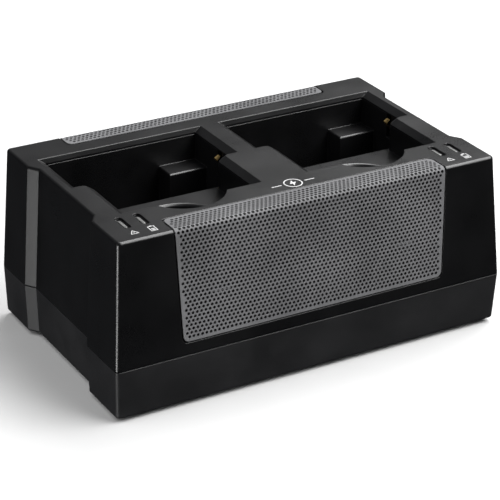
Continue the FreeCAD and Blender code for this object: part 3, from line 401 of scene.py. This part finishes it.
PITCH = 2.0 * MM
ROW = PITCH * math.sqrt(3) / 2
HOLE_RADIUS = 0.72 * MM
SHEET = 0.4 * MM
BEND = 2.4 * MM
SHEET_CORNER = 2.5 * MM
CORNER_STEPS = 5
EDGE_MARGIN = 0.35 * MM
END_MARGIN = 0.45 * MM
PANEL_TAPER = 1.8 * MM
# How far in each panel's head leans, over the panel's height.
FRONT_LEAN = 3.65 / 56.3
REAR_LEAN = 1.6 / 56.3
TAB_HALF = 4.0 * MM
TAB_X = 45.0 * MM
TAB_Z = 50.0 * MM
TAB_REACH = 5.0 * MM
TAB_CORNER = 1.2 * MM


def bent_profile(flap_end, head, foot, face_head, face_foot, sign):
    """A function from the length along the sheet to a point and an outward normal.

    The line runs along the top from the flap's end, round the bend and down the face;
    sign is -1 for the front sheet and +1 for the rear one."""
    lean = math.atan2(abs(face_foot) - abs(face_head), head - foot)
    turn = math.pi / 2 - lean
    cut_back = BEND * math.tan(turn / 2)
    flap = abs(face_head) - abs(flap_end) - cut_back
    panel = math.hypot(head - foot, abs(face_foot) - abs(face_head)) - cut_back
    bend = BEND * turn
    start = abs(flap_end)

    def at(length):
        if length <= flap:
            out, up, tilt = start + length, head, 0.0
        elif length <= flap + bend:
            tilt = (length - flap) / BEND
            out = start + flap + BEND * math.sin(tilt)
            up = head - BEND * (1 - math.cos(tilt))
        else:
            tilt = turn
            down = length - flap - bend
            out = start + flap + BEND * math.sin(tilt) + down * math.cos(tilt)
            up = head - BEND * (1 - math.cos(tilt)) - down * math.sin(tilt)
        return (sign * out, up), (sign * math.sin(tilt), math.cos(tilt))

    return at, flap + bend + panel, flap + bend


class FlatSheet:
    """The flat pattern of a grille. A spot is (x, length), with length from the flap's end."""

    def __init__(self, half_top, total, bend_end):
        self.half_top = half_top
        self.half_foot = half_top - PANEL_TAPER
        self.total = total
        self.bend_end = bend_end
        self.spots = []
        self.index_of = {}
        self.faces = []
        self.rows = int((total - 2 * END_MARGIN) / ROW)
        first = (total - self.rows * ROW) / 2
        self.levels = [first + row * ROW for row in range(self.rows + 1)]
        self.level_points = [set() for _ in self.levels]

    def half_width(self, length):
        """Half the sheet's width: even on the flap, tapered on the panel, round at both ends."""
        straight = min(1.0, max(0.0, (length - self.bend_end) / (self.total - self.bend_end)))
        half = self.half_top + (self.half_foot - self.half_top) * straight
        near_end = min(length, self.total - length)
        if near_end < SHEET_CORNER:
            short = SHEET_CORNER - near_end
            half -= SHEET_CORNER - math.sqrt(max(0.0, SHEET_CORNER ** 2 - short ** 2))
        return half

    def spot(self, x, length):
        """The index of a spot, which neighbouring faces share."""
        key = (round(x / SAME_SPOT), round(length / SAME_SPOT))
        if key not in self.index_of:
            self.index_of[key] = len(self.spots)
            self.spots.append((x, length))
        return self.index_of[key]

    def add_face(self, loop, flip):
        face = [self.spot(u, v) for u, v in loop]
        self.faces.append(tuple(reversed(face)) if flip else tuple(face))

    def add_hole(self, row, x):
        """A cell of one pitch by one row, with an eight-sided hole in its middle."""
        low, high = self.levels[row], self.levels[row + 1]
        middle = (low + high) / 2
        half, rise = PITCH / 2, ROW / 2
        outer = [(x - half, low), (x, low), (x + half, low), (x + half, middle),
                 (x + half, high), (x, high), (x - half, high), (x - half, middle)]
        self.level_points[row].update(round(u, 7) for u, v in outer if v == low)
        self.level_points[row + 1].update(round(u, 7) for u, v in outer if v == high)
        ring = [self.spot(u, v) for u, v in outer]
        hole = []
        for u, v in outer:
            angle = math.atan2((v - middle) * half / rise, u - x)
            hole.append(self.spot(x + HOLE_RADIUS * math.cos(angle),
                                  middle + HOLE_RADIUS * math.sin(angle)))
        for step in range(len(outer)):
            after = (step + 1) % len(outer)
            self.faces.append((ring[step], ring[after], hole[after], hole[step]))

    def add_hole_row(self, row):
        """A row of holes, staggered against the one before. Returns its left and right ends."""
        widths = (self.half_width(self.levels[row]), self.half_width(self.levels[row + 1]))
        room = min(widths) - EDGE_MARGIN
        offset = PITCH / 2 if row % 2 else 0.0
        count = int((room - PITCH / 2 - offset) / PITCH)
        first = -count - (1 if offset else 0)
        centres = [offset + PITCH * step for step in range(first, count + 1)]
        for x in centres:
            self.add_hole(row, x)
        return centres[0] - PITCH / 2, centres[-1] + PITCH / 2

    def add_side_margin(self, row, side, edge):
        """The plain strip between a row's last cell, which ends at edge, and the sheet's side."""
        low, high = self.levels[row], self.levels[row + 1]
        middle = (low + high) / 2

        def beyond(level):
            points = (u for u in self.level_points[level] if side * u >= side * edge - SAME_SPOT)
            return sorted(points, key=lambda u: side * u)

        loop = [(u, low) for u in beyond(row)]
        loop += [(side * self.half_width(length), length) for length in (low, middle, high)]
        loop += [(u, high) for u in reversed(beyond(row + 1))]
        loop.append((edge, middle))
        self.add_face(loop, side < 0)

    def add_end_margin(self, level, end_length):
        """The plain strip between the first or last row and the sheet's round-cornered end."""
        start = self.levels[level]
        half = self.half_width(start)
        inner = [(-half, start)] + [(u, start) for u in sorted(self.level_points[level])]
        inner.append((half, start))
        outer = []
        for step in range(1, CORNER_STEPS + 1):
            length = start + (end_length - start) * step / CORNER_STEPS
            outer.append((self.half_width(length), length))
        outer += [(-u, v) for u, v in reversed(outer)]
        self.add_face(inner + outer, level > 0)


def perforated(name, node, sign, lean):
    """A bent sheet with staggered round holes in rows across it, and its folded tabs."""
    low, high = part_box(node)
    face_foot = low.y if sign < 0 else high.y
    flap_end = high.y if sign < 0 else low.y
    face_head = face_foot - sign * (high.z - low.z) * lean
    at, total, bend_end = bent_profile(flap_end, high.z, low.z, face_head, face_foot, sign)
    sheet = FlatSheet(high.x, total, bend_end)
    ends = [sheet.add_hole_row(row) for row in range(sheet.rows)]
    for row, (left, right) in enumerate(ends):
        sheet.add_side_margin(row, -1, left)
        sheet.add_side_margin(row, 1, right)
    sheet.add_end_margin(0, 0.0)
    sheet.add_end_margin(sheet.rows, total)
    return bent_sheet(name, sheet.spots, sheet.faces, at, sign)


def bent_sheet(name, spots, flat_faces, at, sign):
    """Give the flat pattern its thickness and its bend, and add the tabs behind."""
    outer, inner = [], []
    for x, length in spots:
        (y, z), (normal_y, normal_z) = at(length)
        outer.append(Vector((x, y, z)))
        inner.append(Vector((x, y - normal_y * SHEET, z - normal_z * SHEET)))
    count = len(spots)
    edge_uses = {}
    for face in flat_faces:
        for start, end in zip(face, face[1:] + face[:1]):
            key = (min(start, end), max(start, end))
            edge_uses.setdefault(key, []).append((start, end))
    faces = list(flat_faces)
    faces += [tuple(count + index for index in reversed(face)) for face in flat_faces]
    for uses in edge_uses.values():
        if len(uses) == 1:
            start, end = uses[0]
            faces.append((end, start, count + start, count + end))
    solids = [(outer + inner, faces)]
    for flank in (-1, 1):
        solids.append(tab(at, flank * TAB_X, sign))
    return joined(name, solids, 35)


def tab(at, x, sign):
    """A tongue folded back from the sheet, with rounded free corners."""
    lengths = (step * MM / 10 for step in range(1000))
    length = next(spot for spot in lengths if at(spot)[0][1] <= TAB_Z + SHEET)
    root = at(length)[0][0] - sign * SHEET * 0.9
    side, end = TAB_HALF - TAB_CORNER, TAB_REACH - TAB_CORNER
    outline = [(-TAB_HALF, 0), (TAB_HALF, 0)] + arc(side, end, TAB_CORNER, 0, 90, CORNER_STEPS)
    outline += arc(-side, end, TAB_CORNER, 90, 180, CORNER_STEPS)
    return prism(outline, TAB_Z, TAB_Z + SHEET, lambda u, v, h: Vector((x + u, root - sign * v, h)))


# -------------------------------------------------------------- small hardware

LEAF_HALF = 1.5 * MM
LEAF_THICK = 0.35 * MM
LEAF_STRIP = 0.75 * LEAF_THICK
LEAF_CROWN = 0.08 * MM
LEAF_COLUMNS = 7
# Where the strip runs, as shares of its reach into the bay and of its height: the upright root,
# the long slope, the rolled nose and the tip that turns back to the wall.
LEAF_LINE = [(0.0, 0.0), (0.0, 0.22), (0.04, 0.28), (0.52, 0.60), (0.94, 0.83), (1.0, 0.865),
             (0.93, 0.90), (0.62, 1.0)]
TIP_START = 0.8
TIP_NARROWING = 0.35


def leaf_width(share):
    """Half the strip's width at a share of its height; the tip narrows to a round end."""
    if share < TIP_START:
        return LEAF_HALF
    return LEAF_HALF * (1 - TIP_NARROWING * ((share - TIP_START) / (1 - TIP_START)) ** 2)


def strip_faces(rings, columns):
    """Faces of a strip whose rings each hold a back row of columns points and a front row."""
    ring = 2 * columns
    last = columns - 1
    faces = []
    for index in range(rings - 1):
        here, there = index * ring, (index + 1) * ring
        for column in range(last):
            faces.append((here + column, here + column + 1, there + column + 1, there + column))
            near, far = here + columns + column, there + columns + column
            faces.append((near + 1, near, far, far + 1))
        faces.append((here, there, there + columns, here + columns))
        faces.append((here + last, here + columns + last, there + columns + last, there + last))
    for start in (0, (rings - 1) * ring):
        cap = list(range(start, start + columns)) + list(range(start + ring - 1, start + last, -1))
        faces.append(tuple(cap if start else reversed(cap)))
    return faces


def leaf_contact(name, node, body, bay_middle):
    """A curved spring strip: straight root, long slope, rolled nose and turned-in tip."""
    low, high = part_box(node)
    middle = (low + high) / 2
    inward = 1 if bay_middle > middle.x else -1
    root = low.x if inward > 0 else high.x
    reach = high.x - low.x - LEAF_THICK
    tall = high.z - low.z
    line = smooth_line([(reach * u, tall * v) for u, v in LEAF_LINE], 5)
    points = []
    for index, (u, v) in enumerate(line):
        before, after = line[max(0, index - 1)], line[min(len(line) - 1, index + 1)]
        along = Vector((after[0] - before[0], after[1] - before[1])).normalized()
        for layer in (0, 1):
            for column in range(LEAF_COLUMNS):
                across = column / (LEAF_COLUMNS - 1) * 2 - 1
                push = layer * (LEAF_STRIP + LEAF_CROWN * (1 - across ** 2))
                x = root + inward * (u + along.y * push)
                z = low.z + v - along.x * push
                points.append(Vector((min(high.x, max(low.x, x)),
                                      middle.y + across * leaf_width(v / tall),
                                      min(high.z, max(low.z, z)))))
    piece = welded(object_from(name, points, strip_faces(len(line), LEAF_COLUMNS), 50))
    return dressed(piece, "contact_gold", body, replaces=(node,))


def smooth_line(knots, steps):
    """A Catmull-Rom line through the knots."""
    line = []
    padded = [knots[0]] + list(knots) + [knots[-1]]
    for before, start, end, after in zip(padded, padded[1:], padded[2:], padded[3:]):
        for step in range(steps):
            t = step / steps
            spot = []
            for a, b, c, d in zip(before, start, end, after):
                spot.append(0.5 * (2 * b + (c - a) * t + (2 * a - 5 * b + 4 * c - d) * t * t
                                   + (3 * b - a - 3 * c + d) * t ** 3))
            line.append(tuple(spot))
    line.append(tuple(knots[-1]))
    return line


PIN_CHAMFER = 0.15 * MM
PIN_GROOVE = 0.12 * MM
PIN_GROOVE_HEAD = 1.5 * MM
PIN_GROOVE_FOOT = 1.9 * MM
PIN_GROOVE_SLOPE = 0.1 * MM
PIN_DOME = 0.8


def foot_centre(low, high):
    """The middle of the lower face of a box."""
    return Vector(((low.x + high.x) / 2, (low.y + high.y) / 2, low.z))


def sprung_pin(name, node, body):
    """A turned contact pin: domed head, shank and a fine groove under the head."""
    low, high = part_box(node)
    radius = (high.x - low.x) / 2
    tall = high.z - low.z
    rise = PIN_DOME * radius
    dome = [(radius * math.cos(t), tall - rise + rise * math.sin(t))
            for t in [math.radians(9 * step) for step in range(11)]]
    profile = [(0.0, 0.0), (radius - PIN_CHAMFER, 0.0), (radius, PIN_CHAMFER),
               (radius, tall - PIN_GROOVE_FOOT),
               (radius - PIN_GROOVE, tall - PIN_GROOVE_FOOT + PIN_GROOVE_SLOPE),
               (radius - PIN_GROOVE, tall - PIN_GROOVE_HEAD - PIN_GROOVE_SLOPE),
               (radius, tall - PIN_GROOVE_HEAD)] + dome
    return dressed(lathe(name, profile, foot_centre(low, high)), "contact_gold", body, replaces=(node,))


FOOT_RIM = 0.6 * MM
FOOT_DIP = 0.25 * MM
FOOT_RINGS = (0.30, 0.62)
RING_SHARE = 0.08


def foot(name, node):
    """A rubber foot: soft rim and two shallow rings pressed into its sole."""
    low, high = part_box(node)
    radius = (high.x - low.x) / 2
    tall = high.z - low.z
    profile = [(0.0, 0.0)]
    for ring in FOOT_RINGS:
        inner, outer = radius * ring, radius * (ring + RING_SHARE)
        profile += [(inner, 0.0), (inner + FOOT_DIP, FOOT_DIP),
                    (outer - FOOT_DIP / 2, FOOT_DIP), (outer + FOOT_DIP / 2, 0.0)]
    profile += [(radius - FOOT_RIM + FOOT_RIM * math.sin(t), FOOT_RIM - FOOT_RIM * math.cos(t))
                for t in [math.radians(15 * step) for step in range(7)]]
    profile += [(radius, tall), (0.0, tall)]
    return dressed(lathe(name, profile, foot_centre(low, high), 64), "rubber", replaces=(node,))


LENS_HALF_WIDE, LENS_HALF_LONG = 0.65 * MM, 3.5 * MM
COLLAR_HALF_X, COLLAR_HALF_Y, COLLAR_CORNER = 2.0 * MM, 4.5 * MM, 0.8 * MM
COLLAR_LOW, COLLAR_HIGH = 76.8 * MM, 77.98 * MM
# How far the lens draws in, and how far below its top, from its straight wall to its flat head.
LENS_DOME = ((0.0, 0.25 * MM), (0.08 * MM, 0.1 * MM), (0.25 * MM, 0.0))


def light_pipe(name, node):
    """A round-ended lens on a collar, domed a little above its slot."""
    low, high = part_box(node)
    centre = (low + high) / 2
    straight = LENS_HALF_LONG - LENS_HALF_WIDE
    outline = arc(0, straight, LENS_HALF_WIDE, 0, 180, 12)
    outline += arc(0, -straight, LENS_HALF_WIDE, 180, 360, 12)

    def lift(u, v, height):
        return Vector((centre.x + u, centre.y + v, height))

    points, faces = [lift(u, v, low.z) for u, v in outline], []
    for draw_in, below in LENS_DOME:
        across, along = 1 - draw_in / LENS_HALF_WIDE, 1 - draw_in / LENS_HALF_LONG
        points += [lift(u * across, v * along, high.z - below) for u, v in outline]
    count = len(outline)
    for start in range(0, len(LENS_DOME) * count, count):
        for index in range(count):
            after = (index + 1) % count
            faces.append((start + index, start + after, start + count + after, start + count + index))
    faces.append(tuple(reversed(range(count))))
    faces.append(tuple(range(len(LENS_DOME) * count, len(points))))
    plate = rounded_rectangle(COLLAR_HALF_X, COLLAR_HALF_Y, COLLAR_CORNER)
    collar = prism(plate, COLLAR_LOW, COLLAR_HIGH, lift)
    return dressed(joined(name, [(points, faces), collar]), "light_pipe", replaces=(node,))


def rounded_rectangle(half_u, half_v, corner):
    """Points around a rectangle with round corners, from its right-hand upper corner."""
    outline = []
    for sign_u, sign_v, start in ((1, 1, 0), (-1, 1, 90), (-1, -1, 180), (1, -1, 270)):
        outline += arc(sign_u * (half_u - corner), sign_v * (half_v - corner), corner,
                       start, start + 90, CORNER_STEPS)
    return outline


# ------------------------------------------------------------------ printed marks

INK_LOW = 0.01 * MM
INK_HIGH = 0.045 * MM
MARK_Y = -48.0 * MM
CHARGE_MARK_Y = -36.5 * MM


def printed(name, outlines, centre_x, centre_y):
    """Flat closed outlines printed on the flat top of the case."""
    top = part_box("upper_housing")[1].z
    solids = []
    for outline in outlines:
        solids.append(prism(outline, top - INK_LOW, top + INK_HIGH,
                            lambda u, v, h: Vector((centre_x + u, centre_y + v, h))))
    return dressed(joined(name, solids), "upper_case", material=PRINT)


def stroke(start, end, width):
    """A straight line of ink with square ends."""
    along = Vector((end[0] - start[0], end[1] - start[1])).normalized() * width / 2
    side = (-along.y, along.x)
    return [(start[0] - side[0], start[1] - side[1]), (end[0] - side[0], end[1] - side[1]),
            (end[0] + side[0], end[1] + side[1]), (start[0] + side[0], start[1] + side[1])]


def ring_strokes(radius, width, pieces=40):
    """A ring of ink made of short trapezoids that meet along their ends."""
    quads = []
    for index in range(pieces):
        start, end = 2 * math.pi * index / pieces, 2 * math.pi * (index + 0.999) / pieces
        inner, outer = radius - width / 2, radius + width / 2
        quads.append([(inner * math.cos(start), inner * math.sin(start)),
                      (outer * math.cos(start), outer * math.sin(start)),
                      (outer * math.cos(end), outer * math.sin(end)),
                      (inner * math.cos(end), inner * math.sin(end))])
    return quads


def battery_mark(name, x, y):
    """A small battery seen from the side: a frame, its terminal and two bars of charge."""
    line = 0.32 * MM
    half_x, half_y = 1.5 * MM, 2.1 * MM
    post_x, post_y = half_x - line / 2, half_y - line / 2
    terminal_x, terminal_y, terminal = 0.6 * MM, half_y + 0.4 * MM, 0.4 * MM
    bar_x, bar = 0.8 * MM, 0.55 * MM
    strokes = [stroke((-half_x, -half_y), (half_x, -half_y), line),
               stroke((-half_x, half_y), (half_x, half_y), line),
               stroke((-post_x, -post_y), (-post_x, post_y), line),
               stroke((post_x, post_y), (post_x, -post_y), line),
               stroke((-terminal_x, terminal_y), (terminal_x, terminal_y), terminal)]
    for bar_y in (-1.2 * MM, -0.2 * MM):
        strokes.append(stroke((-bar_x, bar_y), (bar_x, bar_y), bar))
    return printed(name, strokes, x, y)


def notice_mark(name, x, y):
    """A plain triangle, point up, with a short stem in it."""
    line, radius = 0.34 * MM, 2.0 * MM
    stem, stem_low, stem_high = 0.3 * MM, -0.1 * MM, 0.75 * MM
    turns = [math.radians(90 + 120 * step) for step in range(3)]
    corners = [(math.cos(turn) * radius, math.sin(turn) * radius) for turn in turns]
    strokes = [stroke(a, b, line) for a, b in zip(corners, corners[1:] + corners[:1])]
    strokes.append(stroke((0, stem_low), (0, stem_high), stem))
    return printed(name, strokes, x, y)


def charge_mark(name, x, y):
    """A lightning flash inside a ring, between two dashes."""
    flash = [(0.5, 2.6), (-1.7, -0.45), (-0.35, -0.45), (-0.75, -2.6), (1.65, 0.55), (0.25, 0.55)]
    line, radius = 0.5 * MM, 3.9 * MM
    dash_start, dash_end = 5.6 * MM, 10.4 * MM
    outlines = ring_strokes(radius, line)
    outlines.append([(u * MM, v * MM) for u, v in flash])
    for sign in (-1, 1):
        outlines.append(stroke((sign * dash_start, 0), (sign * dash_end, 0), line))
    return printed(name, outlines, x, y)


# ------------------------------------------------------------------- the object

def build_grilles():
    for place, sign, lean in (("front", -1, FRONT_LEAN), ("rear", 1, REAR_LEAN)):
        node = place + "_grille"
        dressed(perforated(node + "_sheet", node, sign, lean), "grille_steel", replaces=(node,))


def build_hardware():
    for side in SIDES:
        bay_middle = sum(corner.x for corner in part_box("charging_well_" + side)) / 2
        for wall in SIDES:
            key = "%s_%s" % (side, wall)
            leaf_contact("spring_leaf_" + key, "leaf_contact_" + key, "leaf_" + key, bay_middle)
            sprung_pin("sprung_pin_" + key, "well_pin_" + key, "pin_" + key)
        for place in ("inner", "outer"):
            light_pipe("lamp_lens_%s_%s" % (side, place), "light_pipe_%s_%s" % (side, place))
    for corner in ("front_left", "front_right", "rear_left", "rear_right"):
        foot("rubber_foot_" + corner, "foot_" + corner)


def build_marks():
    lens = {place: sum(corner.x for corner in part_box("light_pipe_right_" + place)) / 2
            for place in ("inner", "outer")}
    battery_mark("battery_mark_left", -lens["inner"], MARK_Y)
    notice_mark("notice_mark_left", -lens["outer"], MARK_Y)
    notice_mark("notice_mark_right", lens["inner"], MARK_Y)
    battery_mark("battery_mark_right", lens["outer"], MARK_Y)
    charge_mark("charge_mark", 0.0, CHARGE_MARK_Y)


# ----------------------------------------------------------------- stage and light

FLOOR_HALF = 3.0


def build_floor():
    """The sheet the object stands on. It isn't mirrored in the black faces and casts no shadow."""
    corners = [(-1, -1), (1, -1), (1, 1), (-1, 1)]
    floor = object_from("floor", [(u * FLOOR_HALF, v * FLOOR_HALF, 0) for u, v in corners], [(0, 1, 2, 3)])
    floor.data.materials.append(floor_paper("floor_paper"))
    floor.visible_glossy = False
    floor.visible_shadow = False


def softbox(name, place, size, power):
    """A lamp of size (width, height) that faces the middle of the object."""
    light = bpy.data.lights.new(name, "AREA")
    light.shape = "RECTANGLE"
    light.size, light.size_y = size
    light.energy = power
    lamp = bpy.data.objects.new(name, light)
    bpy.context.scene.collection.objects.link(lamp)
    lamp.location = place
    lamp.rotation_euler = (Vector(place) - LIGHT_TARGET).to_track_quat("Z", "Y").to_euler()
    return lamp


LIGHT_TARGET = Vector((0, 0, 0.05))
SOFTBOXES = (
    ("key_softbox", (0.60, -0.60, 1.06), (1.0, 1.0), 34),
    ("overhead_softbox", (0.62, 0.36, 1.20), (0.9, 0.9), 28),
    ("rear_softbox", (0.30, 1.35, 0.62), (1.9, 0.7), 0.85),
    ("front_strip", (0.72, -1.30, 0.72), (0.8, 0.5), 1.2),
    ("left_softbox", (-1.3, 0.05, 0.55), (0.7, 0.6), 0.75),
    ("low_left_card", (-1.30, -0.42, -0.34), (0.5, 0.45), 11),
)


def build_lights():
    """A dim cool surround, softboxes that the faces mirror, and a fill that they don't mirror."""
    world = bpy.data.worlds.new("studio")
    bpy.context.scene.world = world
    world.use_nodes = True
    surround = world.node_tree.nodes["Background"]
    surround.inputs["Color"].default_value = (0.9, 0.93, 1.0, 1)
    surround.inputs["Strength"].default_value = 0.05
    for name, place, size, power in SOFTBOXES:
        softbox(name, place, size, power)
    fill = softbox("left_fill", (-0.9, -0.15, 1.2), (1.5, 1.5), 22)
    fill.visible_glossy = False


CAMERA_AZIMUTH = math.radians(-29.62)
CAMERA_ELEVATION = math.radians(25.86)
CAMERA_ROLL = math.radians(0.32)
CAMERA_DISTANCE = 0.9226
CAMERA_TARGET = Vector((0, 0, 0.040))
CAMERA_DROP = 0.0054
CAMERA_LENS = 149.3
CAMERA_SENSOR = 36
CAMERA_CLIP = 0.01


def build_camera():
    """The photograph's view: azimuth from the front, elevation, roll and a small drop."""
    back = Vector((math.sin(CAMERA_AZIMUTH) * math.cos(CAMERA_ELEVATION),
                   -math.cos(CAMERA_AZIMUTH) * math.cos(CAMERA_ELEVATION),
                   math.sin(CAMERA_ELEVATION)))
    level = Vector((math.cos(CAMERA_AZIMUTH), math.sin(CAMERA_AZIMUTH), 0))
    climb = back.cross(level)
    right = level * math.cos(CAMERA_ROLL) + climb * math.sin(CAMERA_ROLL)
    up = climb * math.cos(CAMERA_ROLL) - level * math.sin(CAMERA_ROLL)
    data = bpy.data.cameras.new("camera")
    data.lens = CAMERA_LENS
    data.sensor_width = CAMERA_SENSOR
    data.clip_start = CAMERA_CLIP
    camera = bpy.data.objects.new("camera", data)
    bpy.context.scene.collection.objects.link(camera)
    place = CAMERA_TARGET + back * CAMERA_DISTANCE - up * CAMERA_DROP
    turn = Matrix((right, up, back)).transposed().to_4x4()
    camera.matrix_world = Matrix.Translation(place) @ turn
    bpy.context.scene.camera = camera


build_camera()
build_floor()
build_lights()
bpy.context.scene.view_settings.view_transform = "Standard"
dress_cad_nodes()
build_grilles()
build_hardware()
build_marks()
